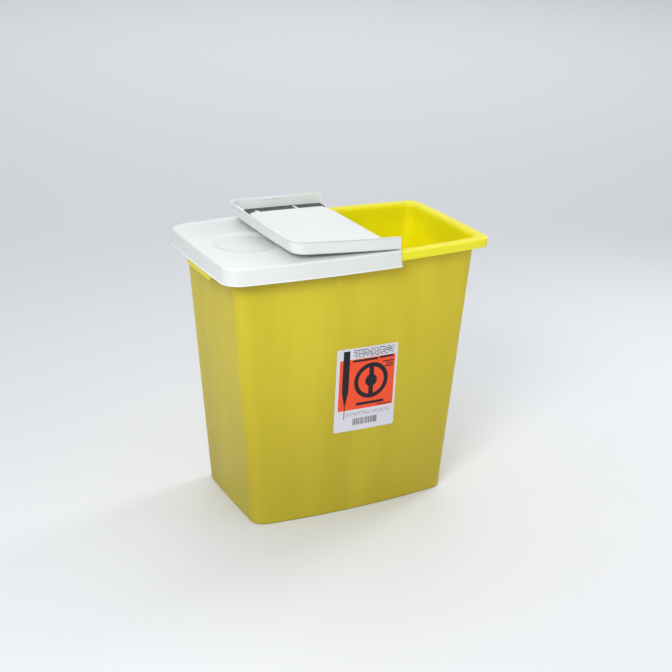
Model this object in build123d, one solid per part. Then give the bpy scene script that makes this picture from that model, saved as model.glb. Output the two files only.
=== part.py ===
"""Sharps container, about 30 litres: a tapered tub, a fixed half lid and a hinged flap.

Millimetres, +Z up, origin at the middle of the footprint on the floor, front face towards -Y.
The fixed half of the lid is on the -X side and the flap covers the +X side. The flap is
modelled folded open, lying upside down on the fixed half.
"""

import math
import os

from build123d import *

# ---- tub: half sizes are to the corners, the bow is how far each side bulges past them ----
HEIGHT = 420.6
BASE_HALF_W = 164.9
BASE_HALF_D = 95.4
BASE_BOW_W = 1.7
BASE_BOW_D = 10.8
BASE_CORNER_R = 21.5
TOP_HALF_W = 200.3
TOP_HALF_D = 101.0
TOP_LEFT_R = 19.0
TOP_RIGHT_R = 17.0
WALL = 2.5
FLOOR = 3.4
BASE_EDGE_R = 3.0

# ---- rolled rim ----
RIM_HALF_W = 215.4
RIM_HALF_D = 117.0
RIM_BOW_W = 2.3
RIM_BOW_D = 12.5
RIM_LEFT_R = 24.6
RIM_RIGHT_R = 19.0
RIM_THICK = 2.4
RIM_DEPTH = 13.0
RIM_EDGE_R = 2.2
MOUTH_EDGE_R = 5.0
MOUTH_STEPS = 6
GUSSET = 3.0
GUSSET_SINK = 0.5

# ---- finger grips under the rim at both ends ----
GRIP_HALF_LEN = 46.0
GRIP_BOTTOM_Z = 386.0
GRIP_CORNER_R = 7.0

# ---- lid, fixed half and flap ----
PLATE = 2.2
GASKET_THICK = 1.5
LID_TOP = HEIGHT + GASKET_THICK + PLATE
PLATE_UNDER = LID_TOP - PLATE
FIXED_SKIRT = 25.0
FLAP_SKIRT = 20.0
SKIRT_TOP_OFFSET = 1.7
SKIRT_FLARE = 0.6
SKIRT_THICK = 1.3
LID_EDGE_R = 3.2
END_FLARE = 3.5
HEM_OUT = 2.0
HEM_TALL = 2.6
HEM_SINK = 0.8
RIB_GAP = 1.5
RIB_THICK = 2.0
RIB_DEEP = 4.0
DISH_X = -141.5
DISH_Y = -5.0
DISH_R = 52.0
DISH_SLOPE = 11.0
DISH_DEPTH = 3.0
DISH_FLOOR_R = 6.0

# ---- flap underside ----
PAN_THICK = 1.8
PAN_HINGE_X = 62.0
BRIDGE_X = 107.5
BRIDGE_WIDTH = 5.0
BRIDGE_REACH = 123.0
CORNER_POST_X = 178.0
CORNER_POST_Y = 103.6
CORNER_POST_R = 4.5

# ---- foam gasket ----
GASKET_FIT = 0.3
GASKET_LIFT = 0.05
GASKET_HINGE_GAP = 2.5
GASKET_FIXED_END_X = 43.5

# ---- snap beads under the rim lip ----
BEAD_OUT = 1.1
BEAD_DROP = 0.3
BEAD_ROOT = 0.2
BEAD_TALL = 2.4
BEAD_LONG = 40.0
BEAD_END_LONG = 24.0
FLAP_BEAD_X = 138.5
FIXED_BEAD_XS = (-150.0, -20.0)
END_BEAD_Y = 76.0

# ---- hinge ----
HINGE_X = 51.0
HINGE_Z = LID_TOP + 0.7
OPEN_TILT = 2.5
KNUCKLE_R = 2.6
KNUCKLE_LEN = 6.0
KNUCKLE_GAP = 0.3
KNUCKLE_INNER_Y = 112.5
KNUCKLE_ARM = 8.0
PIN_R = 1.25
PIN_FIT = 0.05
PIN_HEAD_R = 1.9
PIN_HEAD_LONG = 1.0
PIN_END_GAP = 0.4
BORE_OVERRUN = 0.5
KNUCKLE_CLEAR = 0.9
FIXED_EDGE_X = 50.0
FLAP_EDGE_X = 54.6
EDGE_TAPER = 1.1
EDGE_TAPER_LONG = 6.0
PARTING_TOP_X = 50.2
PARTING_LEAN = 3.0
PARTING_GAP = 1.5
PARTING_OVERRUN = 20.0
EDGE_OVERRUN = 1.0
LEDGE_DROP = 0.3
LEDGE_TOP_Z = PLATE_UNDER - LEDGE_DROP
LEDGE_THICK = 1.8
LEDGE_START_X = 45.0
LEDGE_END_X = 58.0
LEDGE_HALF_LEN = 108.0
REST_PAD_X = 30.0
REST_PAD_Y = 70.0
REST_PAD_R = 5.0
REST_PAD_GAP = 0.05

# ---- label ----
LABEL_X = 11.0
LABEL_Z = 205.0
LABEL_W = 104.0
LABEL_H = 136.0
LABEL_R = 3.0
LABEL_TURN = -1.0
LABEL_THICK = 0.3

FAR = 600.0


def outline(z, half_w, half_d, bows, left_r, right_r, stretch=0.0):
    """Rounded rectangle with bulging sides at height z; stretch moves its right end alone."""
    bow_w, bow_d = bows
    half_w += stretch / 2
    front = ThreePointArc((-half_w, -half_d), (0, -half_d - bow_d), (half_w, -half_d))
    right = ThreePointArc((half_w, -half_d), (half_w + bow_w, 0), (half_w, half_d))
    back = ThreePointArc((half_w, half_d), (0, half_d + bow_d), (-half_w, half_d))
    left = ThreePointArc((-half_w, half_d), (-half_w - bow_w, 0), (-half_w, -half_d))
    face = make_face(Curve() + [front, right, back, left])
    face = fillet(face.vertices().group_by(Axis.X)[0], left_r)
    face = fillet(face.vertices().group_by(Axis.X)[-1], right_r)
    return Pos(stretch / 2, 0, z) * face


def wall_outline(z, offset=0.0):
    """Outline of the tapered wall at height z, grown by offset."""
    share = z / HEIGHT

    def between(low, high):
        return low + (high - low) * share

    return outline(
        z,
        between(BASE_HALF_W, TOP_HALF_W) + offset,
        between(BASE_HALF_D, TOP_HALF_D) + offset,
        (between(BASE_BOW_W, RIM_BOW_W), between(BASE_BOW_D, RIM_BOW_D)),
        between(BASE_CORNER_R, TOP_LEFT_R) + offset,
        between(BASE_CORNER_R, TOP_RIGHT_R) + offset,
    )


def rim_outline(z, offset=0.0, stretch=0.0):
    """Outline of the rim at height z, grown by offset."""
    return outline(
        z,
        RIM_HALF_W + offset,
        RIM_HALF_D + offset,
        (RIM_BOW_W, RIM_BOW_D),
        RIM_LEFT_R + offset,
        RIM_RIGHT_R + offset,
        stretch,
    )


def wall_solid(low, high, offset=0.0):
    """Solid of the tapered wall outline between two heights."""
    return loft([wall_outline(low, offset), wall_outline(high, offset)], ruled=True)


def rim_solid(low, high, offset):
    """Straight solid of the rim outline between two heights."""
    return loft([rim_outline(low, offset), rim_outline(high, offset)], ruled=True)


def block(x0, x1, y0, y1, z0, z1):
    """Box given by its two opposite corners."""
    middle = Pos((x0 + x1) / 2, (y0 + y1) / 2, (z0 + z1) / 2)
    return middle * Box(abs(x1 - x0), abs(y1 - y0), abs(z1 - z0))


def prism_along_y(points, y0, y1):
    """Prism with an XZ profile, running from y0 to y1."""
    profile = make_face(Polyline(*[(x, 0, z) for x, z in points], close=True))
    return Pos(0, y0, 0) * extrude(profile, y1 - y0, dir=(0, 1, 0))


def rod_along_y(x, z, radius, y0, y1):
    """Round rod parallel to Y."""
    return Pos(x, (y0 + y1) / 2, z) * Rot(90, 0, 0) * Cylinder(radius, abs(y1 - y0))


def both_sides(make):
    """The front and back copies of a feature; make(sign) builds one of them."""
    return make(-1) + make(1)


def opened(shape):
    """Turn a piece of the flap from closed to its resting place on the fixed half."""
    return shape.rotate(Axis((HINGE_X, 0, HINGE_Z), (0, 1, 0)), OPEN_TILT - 180.0)


# ---------------------------------------------------------------- tub
def grip_lip(side):
    """Deeper lip behind the rim lip to pull on, in the middle of one end."""
    ring = rim_solid(GRIP_BOTTOM_Z, HEIGHT - RIM_THICK / 2, -RIM_THICK)
    ring -= rim_solid(GRIP_BOTTOM_Z, HEIGHT, -2 * RIM_THICK)
    window = Plane.YZ * Pos(0, (GRIP_BOTTOM_Z + HEIGHT) / 2) * RectangleRounded(
        2 * GRIP_HALF_LEN, HEIGHT - GRIP_BOTTOM_Z, GRIP_CORNER_R
    )
    return ring & extrude(window, side * FAR)


def mouth_sections():
    """Outlines of the opening near the rim, widening upwards round a quarter circle."""
    sections = []
    for step in range(MOUTH_STEPS + 1):
        turn = math.pi / 2 * step / MOUTH_STEPS
        z = HEIGHT - MOUTH_EDGE_R * (1 - math.sin(turn))
        sections.append(wall_outline(z, MOUTH_EDGE_R * (1 - math.cos(turn)) - WALL))
    return sections


def make_tub():
    shell = wall_solid(0, HEIGHT)
    shell = fillet(shell.faces().sort_by(Axis.Z)[0].edges(), BASE_EDGE_R)
    rim_under = HEIGHT - RIM_THICK
    gusset = [wall_outline(rim_under - GUSSET, -GUSSET_SINK), wall_outline(rim_under, GUSSET)]

    rim = rim_solid(HEIGHT - RIM_DEPTH, HEIGHT, 0.0)
    rim = fillet(rim.faces().sort_by(Axis.Z)[-1].edges(), RIM_EDGE_R)
    rim -= rim_solid(HEIGHT - RIM_DEPTH, rim_under, -RIM_THICK)

    tub = shell + loft(gusset, ruled=True) + rim + grip_lip(-1) + grip_lip(1)
    return tub - loft([wall_outline(FLOOR, -WALL), *mouth_sections()], ruled=True)


# ---------------------------------------------------------------- lid
def lid_shell(skirt, end_flare):
    """Whole lid before it is parted: a plate with a flared skirt and a hem.

    end_flare leans the skirt of the right end out further, as a lip to lift the flap by.
    """
    bottom = LID_TOP - skirt
    face = SKIRT_TOP_OFFSET + SKIRT_FLARE
    inner_top = SKIRT_TOP_OFFSET - SKIRT_THICK
    outer = loft(
        [rim_outline(bottom, face, end_flare), rim_outline(LID_TOP, SKIRT_TOP_OFFSET)], ruled=True
    )
    outer = fillet(outer.faces().sort_by(Axis.Z)[-1].edges(), LID_EDGE_R)
    hem_flare = end_flare * (1 - HEM_TALL / skirt)
    hem = [
        rim_outline(bottom, face + HEM_OUT, end_flare),
        rim_outline(bottom + HEM_TALL, face - HEM_SINK, hem_flare),
    ]
    inner = [
        rim_outline(bottom, inner_top + SKIRT_FLARE, end_flare),
        rim_outline(PLATE_UNDER, inner_top),
    ]
    return outer + loft(hem, ruled=True) - loft(inner, ruled=True)


def side_of_parting(gap, keep_left):
    """Everything left (or right) of the leaning line where the two skirts part."""
    top = LID_TOP + PARTING_OVERRUN
    lean = PARTING_LEAN / FIXED_SKIRT
    top_x = PARTING_TOP_X + gap - lean * PARTING_OVERRUN
    low_z = LID_TOP - FIXED_SKIRT - PARTING_OVERRUN
    low_x = top_x + lean * (top - low_z)
    far = -FAR if keep_left else FAR
    return prism_along_y([(top_x, top), (low_x, low_z), (far, low_z), (far, top)], -FAR, FAR)


def skirt_bead(x, y, along_x, length, root=0.0):
    """Snap bead that hooks under the rim lip; root lengthens it out to a leaning skirt."""
    top = HEIGHT - RIM_DEPTH - BEAD_DROP
    low = top - BEAD_TALL
    inside = SKIRT_TOP_OFFSET - SKIRT_THICK + SKIRT_FLARE
    tip = [rim_outline(low, inside), rim_outline(top, inside - BEAD_OUT)]
    bead = rim_solid(low, top, SKIRT_TOP_OFFSET + SKIRT_FLARE - BEAD_ROOT + root)
    bead -= loft(tip, ruled=True)
    half = length / 2
    if along_x:
        return bead & block(x - half, x + half, y, math.copysign(FAR, y), 0, FAR)
    return bead & block(x, math.copysign(FAR, x), y - half, y + half, 0, FAR)


def knuckle(sign, fixed):
    """One barrel of the hinge with the arm that joins it to its plate."""
    inner = KNUCKLE_INNER_Y + (KNUCKLE_LEN + KNUCKLE_GAP if fixed else 0.0)
    y0, y1 = sign * inner, sign * (inner + KNUCKLE_LEN)
    reach = -KNUCKLE_ARM if fixed else KNUCKLE_ARM
    barrel = rod_along_y(HINGE_X, HINGE_Z, KNUCKLE_R, y0, y1)
    arm = block(HINGE_X, HINGE_X + reach, y0, y1, PLATE_UNDER, LID_TOP)
    return barrel + arm


def pin_bore(sign, radius):
    """Hole for the hinge pin through both barrels of one end."""
    y0 = sign * (KNUCKLE_INNER_Y - BORE_OVERRUN)
    y1 = sign * (KNUCKLE_INNER_Y + 2 * KNUCKLE_LEN + KNUCKLE_GAP + BORE_OVERRUN)
    return rod_along_y(HINGE_X, HINGE_Z, radius, y0, y1)


def knuckle_room(sign, fixed):
    """Clearance around the other half's barrel, and around the pin's head."""
    inner = KNUCKLE_INNER_Y + (0.0 if fixed else KNUCKLE_LEN + KNUCKLE_GAP)
    head_room = 2 * PIN_HEAD_LONG if fixed else 0.0
    y0 = sign * (inner - KNUCKLE_GAP - head_room)
    y1 = sign * (inner + KNUCKLE_LEN + KNUCKLE_GAP)
    return rod_along_y(HINGE_X, HINGE_Z, KNUCKLE_R + KNUCKLE_CLEAR, y0, y1)


def dish(drop):
    """Shallow round dish, lowered by drop; its slope runs from rim to floor."""
    top = LID_TOP - drop
    cone = Solid.make_cone(
        DISH_R - DISH_SLOPE, DISH_R, DISH_DEPTH, Plane((DISH_X, DISH_Y, top - DISH_DEPTH))
    )
    return fillet(cone.faces().sort_by(Axis.Z)[0].edges(), DISH_FLOOR_R)


def make_fixed_lid():
    lid = lid_shell(FIXED_SKIRT, 0.0) & side_of_parting(0.0, True)
    for x in FIXED_BEAD_XS:
        lid += both_sides(lambda s: skirt_bead(x, s, True, BEAD_LONG))
    lid += both_sides(lambda s: skirt_bead(-1, s * END_BEAD_Y, False, BEAD_END_LONG))

    rib = wall_solid(PLATE_UNDER - RIB_DEEP, PLATE_UNDER, -WALL - RIB_GAP)
    rib -= wall_solid(PLATE_UNDER - RIB_DEEP, PLATE_UNDER, -WALL - RIB_GAP - RIB_THICK)
    lid += rib & block(-FAR, LEDGE_START_X, -FAR, FAR, 0, FAR)

    lid += dish(PLATE) - block(-FAR, FAR, -FAR, FAR, PLATE_UNDER, FAR)
    lid -= dish(0.0)

    lid -= block(FIXED_EDGE_X, FAR, -LEDGE_HALF_LEN, LEDGE_HALF_LEN, 0, FAR)
    lid += block(
        LEDGE_START_X, LEDGE_END_X, -LEDGE_HALF_LEN, LEDGE_HALF_LEN,
        LEDGE_TOP_Z - LEDGE_THICK, LEDGE_TOP_Z,
    )
    lid += block(
        LEDGE_START_X, FIXED_EDGE_X, -LEDGE_HALF_LEN, LEDGE_HALF_LEN,
        LEDGE_TOP_Z - LEDGE_THICK, LID_TOP,
    )
    lid -= both_sides(lambda s: knuckle_room(s, True))
    lid += both_sides(lambda s: knuckle(s, True))
    lid -= both_sides(lambda s: pin_bore(s, PIN_R))

    reach = HINGE_X - REST_PAD_X
    flap_face = HINGE_Z + (HINGE_Z - LID_TOP) + reach * math.sin(math.radians(OPEN_TILT))
    pad_top = flap_face - REST_PAD_GAP - REST_PAD_R * math.sin(math.radians(OPEN_TILT))
    for y in (-REST_PAD_Y, REST_PAD_Y):
        height = pad_top - LID_TOP + PLATE / 2
        lid += Pos(REST_PAD_X, y, pad_top - height / 2) * Cylinder(REST_PAD_R, height)
    return lid


def flap_pan():
    """Raised middle of the flap's underside, with its bridges and corner posts."""
    pan = wall_solid(PLATE_UNDER - PAN_THICK, PLATE_UNDER, -WALL - RIB_GAP)
    pan &= block(PAN_HINGE_X, FAR, -FAR, FAR, 0, FAR)
    low = HEIGHT + GASKET_LIFT
    half = BRIDGE_WIDTH / 2
    pan += block(
        BRIDGE_X - half, BRIDGE_X + half, -BRIDGE_REACH, BRIDGE_REACH, low, PLATE_UNDER
    )
    middle = (low + PLATE_UNDER) / 2
    post = Cylinder(CORNER_POST_R, PLATE_UNDER - low)
    return pan + both_sides(lambda s: Pos(CORNER_POST_X, s * CORNER_POST_Y, middle) * post)


def make_flap_closed():
    flap = lid_shell(FLAP_SKIRT, END_FLARE) & side_of_parting(PARTING_GAP, False)
    flap += both_sides(lambda s: skirt_bead(FLAP_BEAD_X, s, True, BEAD_LONG))
    root = END_FLARE * (LID_TOP - HEIGHT + RIM_DEPTH) / FLAP_SKIRT
    flap += both_sides(lambda s: skirt_bead(1, s * END_BEAD_Y, False, BEAD_END_LONG, root))
    edge = KNUCKLE_INNER_Y + 2 * KNUCKLE_LEN + 2 * KNUCKLE_GAP
    below = PLATE_UNDER - EDGE_OVERRUN
    flap -= block(-FAR, FLAP_EDGE_X, -edge, edge, below, FAR)
    flap -= prism_along_y(
        [
            (FLAP_EDGE_X - EDGE_OVERRUN, below),
            (FLAP_EDGE_X - EDGE_OVERRUN, PLATE_UNDER + EDGE_TAPER),
            (FLAP_EDGE_X, PLATE_UNDER + EDGE_TAPER),
            (FLAP_EDGE_X + EDGE_TAPER_LONG, PLATE_UNDER),
            (FLAP_EDGE_X + EDGE_TAPER_LONG, below),
        ],
        EDGE_OVERRUN - KNUCKLE_INNER_Y,
        KNUCKLE_INNER_Y - EDGE_OVERRUN,
    )
    flap += flap_pan()
    flap -= both_sides(lambda s: knuckle_room(s, False))
    flap += both_sides(lambda s: knuckle(s, False))
    return flap - both_sides(lambda s: pin_bore(s, PIN_R + PIN_FIT))


# ---------------------------------------------------------------- small pieces
def gasket_band():
    """Flat foam band under the lid plate, between the tub's opening and the skirt."""
    low = HEIGHT + GASKET_LIFT
    inner_top = SKIRT_TOP_OFFSET - SKIRT_THICK
    band = rim_solid(low, PLATE_UNDER, inner_top - GASKET_FIT)
    opening = wall_solid(
        low - EDGE_OVERRUN, PLATE_UNDER + EDGE_OVERRUN, GASKET_FIT - WALL - RIB_GAP
    )
    return band - opening


def make_flap_gasket_closed():
    start = FLAP_EDGE_X + GASKET_HINGE_GAP
    band = gasket_band() & block(start, FAR, -FAR, FAR, 0, FAR)
    reach = BRIDGE_REACH + GASKET_FIT
    half = BRIDGE_WIDTH / 2 + GASKET_FIT
    band -= block(BRIDGE_X - half, BRIDGE_X + half, -reach, reach, 0, FAR)
    hole = Cylinder(CORNER_POST_R + GASKET_FIT, FLAP_SKIRT)
    return band - both_sides(lambda s: Pos(CORNER_POST_X, s * CORNER_POST_Y, HEIGHT) * hole)


def make_fixed_gasket():
    return gasket_band() & block(-FAR, GASKET_FIXED_END_X, -FAR, FAR, 0, FAR)


def hinge_pin(sign):
    """Short headed pin pressed into the fixed barrel; the flap's barrel turns on it."""
    y0 = sign * (KNUCKLE_INNER_Y - PIN_END_GAP)
    y1 = sign * (KNUCKLE_INNER_Y + 2 * KNUCKLE_LEN + KNUCKLE_GAP)
    shank = rod_along_y(HINGE_X, HINGE_Z, PIN_R, y0, y1)
    return shank + rod_along_y(HINGE_X, HINGE_Z, PIN_HEAD_R, y0, y0 - sign * PIN_HEAD_LONG)


def make_label():
    """Thin sticker that follows the bulging front wall."""
    skin = wall_solid(0, HEIGHT, LABEL_THICK) - wall_solid(0, HEIGHT)
    face = Plane.XZ * Pos(LABEL_X, LABEL_Z) * Rot(0, 0, LABEL_TURN) * RectangleRounded(
        LABEL_W, LABEL_H, LABEL_R
    )
    return skin & extrude(face, FAR)


os.makedirs("parts", exist_ok=True)
nodes = {
    "tub": make_tub(),
    "lid_fixed": make_fixed_lid(),
    "lid_flap": opened(make_flap_closed()),
    "gasket_fixed": make_fixed_gasket(),
    "gasket_flap": opened(make_flap_gasket_closed()),
    "hinge_pin_front": hinge_pin(-1),
    "hinge_pin_back": hinge_pin(1),
    "label": make_label(),
}
for name, shape in nodes.items():
    export_step(shape, f"parts/{name}.step")
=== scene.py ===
"""Looks of the sharps container: moulded yellow tub, white lid halves, foam gasket and label.

Metres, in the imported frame: +Z up, front face towards -Y, origin on the floor.
"""

import math

import bpy
from mathutils import Matrix, Vector


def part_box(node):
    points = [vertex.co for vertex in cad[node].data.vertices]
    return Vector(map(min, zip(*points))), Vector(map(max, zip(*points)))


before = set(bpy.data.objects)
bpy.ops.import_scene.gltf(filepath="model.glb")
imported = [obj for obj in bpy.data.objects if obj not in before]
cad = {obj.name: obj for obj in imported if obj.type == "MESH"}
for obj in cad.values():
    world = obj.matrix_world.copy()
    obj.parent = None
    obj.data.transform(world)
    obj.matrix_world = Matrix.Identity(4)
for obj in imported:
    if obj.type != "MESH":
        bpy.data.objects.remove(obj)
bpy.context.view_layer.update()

# ---- camera: angles in degrees, lens and sensor in millimetres ----
CAMERA_AZIMUTH = -27.29
CAMERA_ELEVATION = 21.17
CAMERA_ROLL = 1.44
CAMERA_DISTANCE = 2.1189
CAMERA_TARGET = (0.01427, 0.0, 0.2498)
CAMERA_LENS = 72.2
CAMERA_SENSOR = 36.0

# ---- studio: power in watts, spread in degrees ----
FLOOR_SIZE = 200
FLOOR_COLOUR = (0.72, 0.73, 0.74)
SKY_COLOUR = (0.88, 0.91, 0.97)
SKY_STRENGTH = 0.6
LIGHTS = {
    "key": dict(place=(-1.0, -1.05, 1.3), aim=(0, 0, 0.36), size=(0.7, 0.7), power=19.5),
    "top": dict(place=(-0.2, 0.3, 1.7), aim=(0.1, 0, 0.3), size=(1.4, 1.0), power=1.5),
    "fill": dict(place=(2.0, -1.3, 0.9), aim=(0, 0, 0.25), size=(1.0, 1.2), power=4),
    "edge": dict(place=(1.8, 0.6, 1.05), aim=(0.05, 0, 0.3), size=(0.6, 1.0), power=3.5, spread=80.0),
    "backdrop": dict(place=(2.0, 4.0, 3.0), aim=(2.0, 4.0, 0), size=(5.0, 5.0), power=80),
}

# ---- tub ----
RIM_DEPTH = 0.0132
RIM_OVERHANG = 0.0104
EDGE_SOFTNESS = 0.0008
PAINTED_SHADE_HEIGHT = 0.36
GATE_MARK = (-0.039, -0.111, 0.381)
GATE_MARK_RADIUS = 0.009
# painted shade: the outside wall goes from its top colour down to a shaded copy at the base, standing
# in for light falling off towards the floor
WALL_PAINTED_SHADE_AT_BASE = (0.495, 0.415, 0.017), (0.545, 0.455, 0.024)
WALL_AT_TOP = (0.635, 0.54, 0.020), (0.695, 0.59, 0.030)
# painted glow: the inside faces are coloured brighter and richer than the outside, standing in for
# light shining through the wall and bouncing inside
PAINTED_GLOW_INSIDE = (0.95, 0.88, 0.005), (0.98, 0.93, 0.007)
# painted glow: the rim and the grip lips are coloured paler and brighter than the wall, standing in
# for light shining through their thin free edges
RIM_AND_LIP_PAINTED_GLOW = (0.95, 0.87, 0.03)
GATE_COLOUR = (0.82, 0.70, 0.06)

# ---- lid and gasket ----
LID_WHITE = (0.70, 0.72, 0.70), (0.735, 0.75, 0.73)
FOAM_GREY = (0.055, 0.060, 0.065), (0.105, 0.110, 0.115)
FOAM_PORE = (0.035, 0.035, 0.04)

# ---- label colours ----
PANEL_ORANGE = (0.85, 0.075, 0.018)
INK = (0.006, 0.005, 0.010)
PALE_INK = (0.30, 0.30, 0.32)
FILM = (0.66, 0.65, 0.70)

# ---- label artwork: millimetres from the label's middle, as left, right, bottom, top ----
LABEL_TURN = -1.0
PRINT_SOFTNESS = 0.12
PANEL = (-46.5, 48, -33, 50)
EMBLEM_MIDDLE = (8, 12)
RING_RADII = (22, 29)
DISC_RADIUS = 10
EMBLEM_BARS = [(4, 12, 20, 36), (4, 12, -12, 4)]
STRIP = (-41, -30, 0, 64.5)
STRIP_MIDDLE = -35.5
STRIP_POINT = -48
TAPER_LENGTH = (-30, 2)
TAPER_HALF_WIDTH = (0.6, 5.5)
HEADING_BARS = [(-25, 18, 45, 48.5), (21, 45, 46, 49.5)]
SIDE_BARS = [(27, 45, 39, 41), (33, 45, 35, 37), (30, 45, 31, 33)]
FOOT_BARS = [(-16, 32, -27, -22.5), (20, 45, -31, -29.5)]
TOP_ROWS = (-24, 46, 52, 65)
FOOT_ROWS = (-32, 44, -44, -37)
STRIPES = (-20, 22, -59, -48)


class Tree:
    """A material's node tree, with short ways to add and link nodes."""

    def __init__(self, name):
        self.material = bpy.data.materials.new(name)
        self.material.use_nodes = True
        self.tree = self.material.node_tree
        self.shader = self.tree.nodes["Principled BSDF"]
        self.output = self.tree.nodes["Material Output"]
        self.place = self.node("ShaderNodeTexCoord").outputs["Object"]

    def node(self, kind, inputs=None, **settings):
        """Add a node; inputs are values or other nodes' sockets."""
        made = self.tree.nodes.new(kind)
        for key, value in settings.items():
            setattr(made, key, value)
        for key, value in (inputs or {}).items():
            self.feed(made.inputs[key], value)
        return made

    def feed(self, socket, value):
        """Link or set one socket."""
        if isinstance(value, bpy.types.NodeSocket):
            self.tree.links.new(value, socket)
        else:
            socket.default_value = value

    def math(self, operation, first, second=0.0):
        made = self.node("ShaderNodeMath", {0: first, 1: second}, operation=operation)
        return made.outputs[0]

    def vector(self, operation, first, second, output="Vector"):
        made = self.node("ShaderNodeVectorMath", {0: first, 1: second}, operation=operation)
        return made.outputs[output]

    def ramp(self, value, low, high, start=0.0, end=1.0):
        """value from low to high as start to end, smoothly and clamped."""
        made = self.node(
            "ShaderNodeMapRange",
            {"Value": value, "From Min": low, "From Max": high, "To Min": start, "To Max": end},
            interpolation_type="SMOOTHSTEP",
        )
        return made.outputs["Result"]

    def noise(self, scale, detail=2.0, roughness=0.5, place=None):
        made = self.node(
            "ShaderNodeTexNoise",
            {
                "Vector": place or self.place,
                "Scale": scale,
                "Detail": detail,
                "Roughness": roughness,
            },
        )
        return made.outputs["Fac"]

    def mix(self, share, first, second):
        """Colour between first and second."""
        made = self.node("ShaderNodeMix", data_type="RGBA")
        self.feed(made.inputs[0], share)
        for socket, colour in ((made.inputs[6], first), (made.inputs[7], second)):
            self.feed(socket, (*colour, 1) if isinstance(colour, tuple) else colour)
        return made.outputs[2]

    def bump(self, height, distance, normal=None):
        inputs = {"Height": height, "Distance": distance}
        if normal is not None:
            inputs["Normal"] = normal
        return self.node("ShaderNodeBump", inputs).outputs["Normal"]

    def axes(self, place=None):
        made = self.node("ShaderNodeSeparateXYZ", {"Vector": place or self.place})
        return made.outputs["X"], made.outputs["Y"], made.outputs["Z"]

    def shade(self, **values):
        """Set or link the main shader's sockets; underscores stand for spaces."""
        for key, value in values.items():
            self.feed(self.shader.inputs[key.replace("_", " ")], value)


def moulded_surface(tree, waviness, edge_radius):
    """Normal of moulded plastic: softened edges, slight waves from shrinkage, fine grain."""
    soft = tree.node("ShaderNodeBevel", {"Radius": edge_radius}, samples=4).outputs["Normal"]
    waves = tree.bump(tree.noise(14.0, 1.0, 0.4), waviness, soft)
    return tree.bump(tree.noise(1500.0, 2.0, 0.6), 0.00002, waves)


# ---------------------------------------------------------------- materials
def tub_colour(tree, inside):
    """Outside of the wall and its rim, and the inside with a painted glow, chosen by the mask inside.
    """
    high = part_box("tub")[1]
    x, _, z = tree.axes()
    rim_under = high.z - RIM_DEPTH
    lip_face = high.x - RIM_OVERHANG
    rim = tree.ramp(z, rim_under - EDGE_SOFTNESS, rim_under + EDGE_SOFTNESS)
    from_middle = tree.math("ABSOLUTE", x)
    lip = tree.ramp(from_middle, lip_face - EDGE_SOFTNESS, lip_face + EDGE_SOFTNESS)

    flow = tree.noise(16.0, 3.0, 0.55, tree.vector("MULTIPLY", tree.place, (1.0, 1.0, 0.22)))
    streaks = tree.ramp(flow, 0.3, 0.7)
    painted_shade_at_base = tree.mix(streaks, *WALL_PAINTED_SHADE_AT_BASE)
    at_top = tree.mix(streaks, *WALL_AT_TOP)
    painted_glow = tree.mix(streaks, *PAINTED_GLOW_INSIDE)

    # painted shade: the outside wall darkens towards the base
    wall = tree.mix(tree.ramp(z, 0.0, PAINTED_SHADE_HEIGHT), painted_shade_at_base, at_top)
    from_gate = tree.vector("DISTANCE", tree.place, GATE_MARK, "Value")
    gate = tree.ramp(from_gate, GATE_MARK_RADIUS, GATE_MARK_RADIUS / 3, 0.0, 0.5)
    wall = tree.mix(gate, wall, GATE_COLOUR)
    # painted glow on the rim and the grip lips
    outside = tree.mix(tree.math("MAXIMUM", rim, lip), wall, RIM_AND_LIP_PAINTED_GLOW)
    # painted glow on the inside faces
    return tree.mix(inside, outside, painted_glow), painted_glow


def make_tub_plastic():
    """Dyed translucent polypropylene, darkened towards the base by painted shade and made richer
    inside by a painted glow.
    """
    tree = Tree("tub_plastic")
    x, y, _ = tree.axes()
    normal = tree.node("ShaderNodeNewGeometry").outputs["Normal"]
    outward = tree.node("ShaderNodeCombineXYZ", {"X": x, "Y": y}).outputs[0]
    facing = tree.vector("DOT_PRODUCT", normal, outward, "Value")
    inside = tree.ramp(facing, 0.004, -0.004)
    colour, painted_glow = tub_colour(tree, inside)
    surface = moulded_surface(tree, 0.0006, 0.0008)
    tree.shade(
        Base_Color=colour,
        Roughness=tree.ramp(tree.noise(60.0, 3.0, 0.6), 0.2, 0.8, 0.34, 0.42),
        IOR=1.49,
        Specular_IOR_Level=0.5,
        Subsurface_Weight=0.35,
        Subsurface_Radius=(1.0, 0.7, 0.05),
        Subsurface_Scale=0.006,
        Normal=surface,
    )
    through = tree.node("ShaderNodeBsdfTranslucent", {"Color": painted_glow, "Normal": surface})
    share = tree.ramp(inside, 0.0, 1.0, 0.22, 0.4)
    blend = tree.node(
        "ShaderNodeMixShader", {0: share, 1: tree.shader.outputs[0], 2: through.outputs[0]}
    )
    tree.feed(tree.output.inputs["Surface"], blend.outputs[0])
    return tree.material


def make_lid_plastic(name):
    """White polypropylene with a satin mould finish."""
    tree = Tree(name)
    cloud = tree.ramp(tree.noise(9.0, 2.0, 0.5), 0.3, 0.7)
    tree.shade(
        Base_Color=tree.mix(cloud, *LID_WHITE),
        Roughness=tree.ramp(tree.noise(70.0, 3.0, 0.6), 0.2, 0.8, 0.34, 0.46),
        IOR=1.49,
        Specular_IOR_Level=0.5,
        Subsurface_Weight=0.25,
        Subsurface_Radius=(1.0, 1.0, 0.9),
        Subsurface_Scale=0.003,
        Normal=moulded_surface(tree, 0.0004, 0.0006),
    )
    return tree.material


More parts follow.
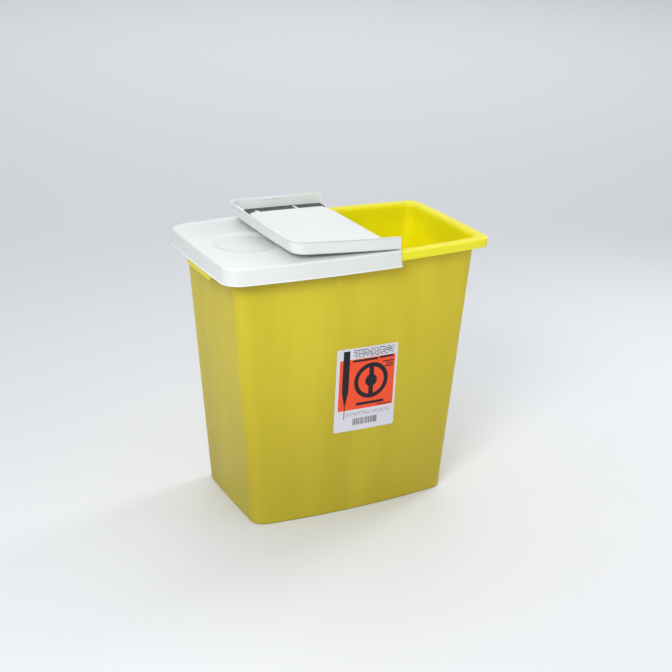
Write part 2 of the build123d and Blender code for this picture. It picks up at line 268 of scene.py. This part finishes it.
def make_gasket_foam():
    """Closed-cell foam: dark grey with pores."""
    tree = Tree("gasket_foam")
    cells = tree.node("ShaderNodeTexVoronoi", {"Vector": tree.place, "Scale": 900.0})
    pores = cells.outputs["Distance"]
    tone = tree.ramp(tree.noise(120.0, 3.0, 0.6), 0.3, 0.7)
    tree.shade(
        Base_Color=tree.mix(tree.ramp(pores, 0.1, 0.6), FOAM_PORE, tree.mix(tone, *FOAM_GREY)),
        Roughness=0.85,
        Normal=tree.bump(pores, 0.0003),
    )
    return tree.material


class Artwork:
    """Printed shapes as masks over a label; sizes are in millimetres from its middle."""

    def __init__(self, tree, label):
        low, high = label
        centred = tree.vector("SUBTRACT", tree.place, (low + high) / 2)
        turn = (0.0, math.radians(LABEL_TURN), 0.0)
        turned = tree.node("ShaderNodeMapping", {"Vector": centred, "Rotation": turn})
        self.tree = tree
        self.place = turned.outputs["Vector"]
        self.across, _, self.up = tree.axes(self.place)

    def band(self, value, start, end):
        """1 between start and end, with a hair's width of softness."""
        soft = PRINT_SOFTNESS
        rise = self.tree.ramp(value, (start - soft) / 1000, (start + soft) / 1000)
        fall = self.tree.ramp(value, (end + soft) / 1000, (end - soft) / 1000)
        return self.overlap(rise, fall)

    def overlap(self, first, second):
        return self.tree.math("MULTIPLY", first, second)

    def union(self, masks):
        whole = masks[0]
        for mask in masks[1:]:
            whole = self.tree.math("MAXIMUM", whole, mask)
        return whole

    def patch(self, left, right, bottom, top):
        return self.overlap(self.band(self.across, left, right), self.band(self.up, bottom, top))

    def ring(self, middle, inner, outer):
        flat = self.tree.node("ShaderNodeCombineXYZ", {"X": self.across, "Y": self.up})
        x, z = middle
        centre = (x / 1000, z / 1000, 0)
        radius = self.tree.vector("DISTANCE", flat.outputs[0], centre, "Value")
        return self.band(radius, inner, outer)

    def emblem(self):
        """Ring with a disc and an upright bar."""
        parts = [self.ring(EMBLEM_MIDDLE, *RING_RADII), self.ring(EMBLEM_MIDDLE, -1, DISC_RADIUS)]
        return parts + [self.patch(*bar) for bar in EMBLEM_BARS]

    def tapered_strip(self):
        """Straight strip that narrows downwards to a point."""
        start, end = TAPER_LENGTH
        narrow, wide = TAPER_HALF_WIDTH
        half_width = self.tree.ramp(self.up, start / 1000, end / 1000, narrow / 1000, wide / 1000)
        shifted = self.tree.math("ADD", self.across, -STRIP_MIDDLE / 1000)
        off_centre = self.tree.math("ABSOLUTE", shifted)
        tip = self.tree.math("LESS_THAN", off_centre, half_width)
        return [self.patch(*STRIP), self.overlap(tip, self.band(self.up, STRIP_POINT, end))]

    def rows_of_dashes(self):
        rows = self.tree.node(
            "ShaderNodeTexWave",
            {"Vector": self.place, "Scale": 110.0, "Distortion": 0.0},
            bands_direction="Z",
        ).outputs["Fac"]
        dashes = self.tree.noise(420.0, 0.0, 0.5, self.place)
        return self.overlap(self.tree.ramp(rows, 0.45, 0.6), self.tree.ramp(dashes, 0.40, 0.46))

    def stripes(self):
        line = self.tree.node("ShaderNodeCombineXYZ", {"X": self.across}).outputs[0]
        return self.tree.ramp(self.tree.noise(700.0, 0.0, 0.5, line), 0.48, 0.52)


def make_label_film(label):
    """Printed film: an orange panel, plain shapes and bars, and no lettering."""
    tree = Tree("label_film")
    art = Artwork(tree, label)
    bars = [art.patch(*bar) for bar in HEADING_BARS + SIDE_BARS + FOOT_BARS]
    shapes = art.union(art.emblem() + art.tapered_strip() + bars)
    dashes = art.rows_of_dashes()

    colour = tree.mix(art.patch(*PANEL), FILM, PANEL_ORANGE)
    colour = tree.mix(shapes, colour, INK)
    colour = tree.mix(art.overlap(dashes, art.patch(*TOP_ROWS)), colour, INK)
    colour = tree.mix(art.overlap(dashes, art.patch(*FOOT_ROWS)), colour, PALE_INK)
    colour = tree.mix(art.overlap(art.stripes(), art.patch(*STRIPES)), colour, INK)
    tree.shade(
        Base_Color=colour,
        Roughness=0.45,
        IOR=1.5,
        Specular_IOR_Level=0.35,
        Normal=tree.bump(tree.noise(90.0, 2.0, 0.5), 0.0001),
    )
    return tree.material


def paint(material, *names):
    for name in names:
        slots = cad[name].data.materials
        slots.clear()
        slots.append(material)


# ---------------------------------------------------------------- stage
def make_floor():
    bpy.ops.mesh.primitive_plane_add(size=FLOOR_SIZE, location=(0, 0, 0))
    floor = bpy.context.object
    floor.name = "floor"
    tree = Tree("floor")
    tree.shade(Base_Color=(*FLOOR_COLOUR, 1), Roughness=0.55, Specular_IOR_Level=0.3)
    floor.data.materials.append(tree.material)


def area_light(name, place, aim, size, power, spread=180.0):
    light = bpy.data.lights.new(name, "AREA")
    light.shape = "RECTANGLE"
    light.size, light.size_y = size
    light.energy = power
    light.spread = math.radians(spread)
    lamp = bpy.data.objects.new(name, light)
    lamp.location = place
    lamp.rotation_euler = (Vector(aim) - Vector(place)).to_track_quat("-Z", "Y").to_euler()
    bpy.context.scene.collection.objects.link(lamp)


def make_world():
    world = bpy.data.worlds.new("studio")
    world.use_nodes = True
    sky = world.node_tree.nodes["Background"]
    sky.inputs["Color"].default_value = (*SKY_COLOUR, 1)
    sky.inputs["Strength"].default_value = SKY_STRENGTH
    bpy.context.scene.world = world
    bpy.context.scene.view_settings.view_transform = "Standard"


def make_camera():
    azimuth = math.radians(CAMERA_AZIMUTH)
    elevation = math.radians(CAMERA_ELEVATION)
    roll = math.radians(CAMERA_ROLL)
    back = Vector(
        (
            math.sin(azimuth) * math.cos(elevation),
            -math.cos(azimuth) * math.cos(elevation),
            math.sin(elevation),
        )
    )
    right = Vector((0, 0, 1)).cross(back).normalized()
    up = back.cross(right)
    turn = Matrix((right, up, back)).transposed() @ Matrix.Rotation(roll, 3, "Z")
    data = bpy.data.cameras.new("camera")
    data.lens = CAMERA_LENS
    data.sensor_width = CAMERA_SENSOR
    camera = bpy.data.objects.new("camera", data)
    camera.matrix_world = Matrix.LocRotScale(
        Vector(CAMERA_TARGET) + back * CAMERA_DISTANCE, turn.to_quaternion(), None
    )
    bpy.context.scene.collection.objects.link(camera)
    bpy.context.scene.camera = camera


paint(make_tub_plastic(), "tub")
paint(make_lid_plastic("lid_plastic"), "lid_fixed", "lid_flap")
paint(make_lid_plastic("pin_plastic"), "hinge_pin_front", "hinge_pin_back")
paint(make_gasket_foam(), "gasket_fixed", "gasket_flap")
paint(make_label_film(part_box("label")), "label")
make_floor()
for name, light in LIGHTS.items():
    area_light(name, **light)
make_world()
make_camera()
